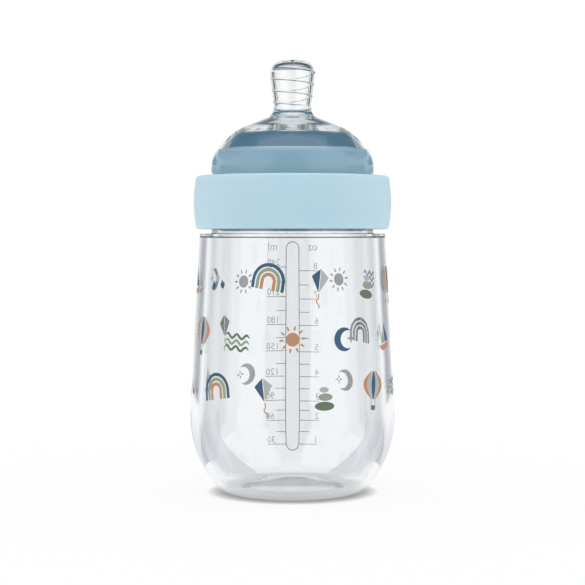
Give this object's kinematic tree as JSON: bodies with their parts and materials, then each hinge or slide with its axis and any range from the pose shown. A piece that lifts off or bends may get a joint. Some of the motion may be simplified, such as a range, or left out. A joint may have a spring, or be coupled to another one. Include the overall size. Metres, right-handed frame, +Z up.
{
  "type": "baby bottle",
  "caption": "Clear wide-neck baby bottle with a tapered body, a screw collar and a breast-shaped silicone teat over a stepped vent insert.",
  "frame": {"origin": "centre of the base ring, on the surface that the bottle stands on", "axes": "+Z up along the bottle's axis; -Y is the front, and the volume scale is at the back, +Y"},
  "size_m": [0.0716, 0.0716, 0.1505],
  "materials": {
    "clear_glass": "polished, clear",
    "blue_insert_plastic": "satin",
    "clear_silicone": "glossy, clear",
    "blue_collar_plastic": "satin"
  },
  "bodies": {
    "bottle": {"bottle_body": "clear_glass"},
    "teat_and_insert": {"teat": "clear_silicone", "vent_insert": "blue_insert_plastic"},
    "screw_collar": {"collar": "blue_collar_plastic"}
  },
  "joints": [
    {"name": "teat_lift", "type": "slide", "parent": "bottle", "child": "teat_and_insert", "axis": [0, 0, 1], "range_m": [0, 0.018]},
    {"name": "collar_screw", "type": "hinge", "parent": "teat_and_insert", "child": "screw_collar", "pos_m": [0, 0, 0.1011], "axis": [0, 0, 1], "range_deg": [0, 1080]}
  ],
  "couplings": [
    {"joint": "teat_lift", "follows": "collar_screw", "m_per_rad": 0.0009549}
  ]
}
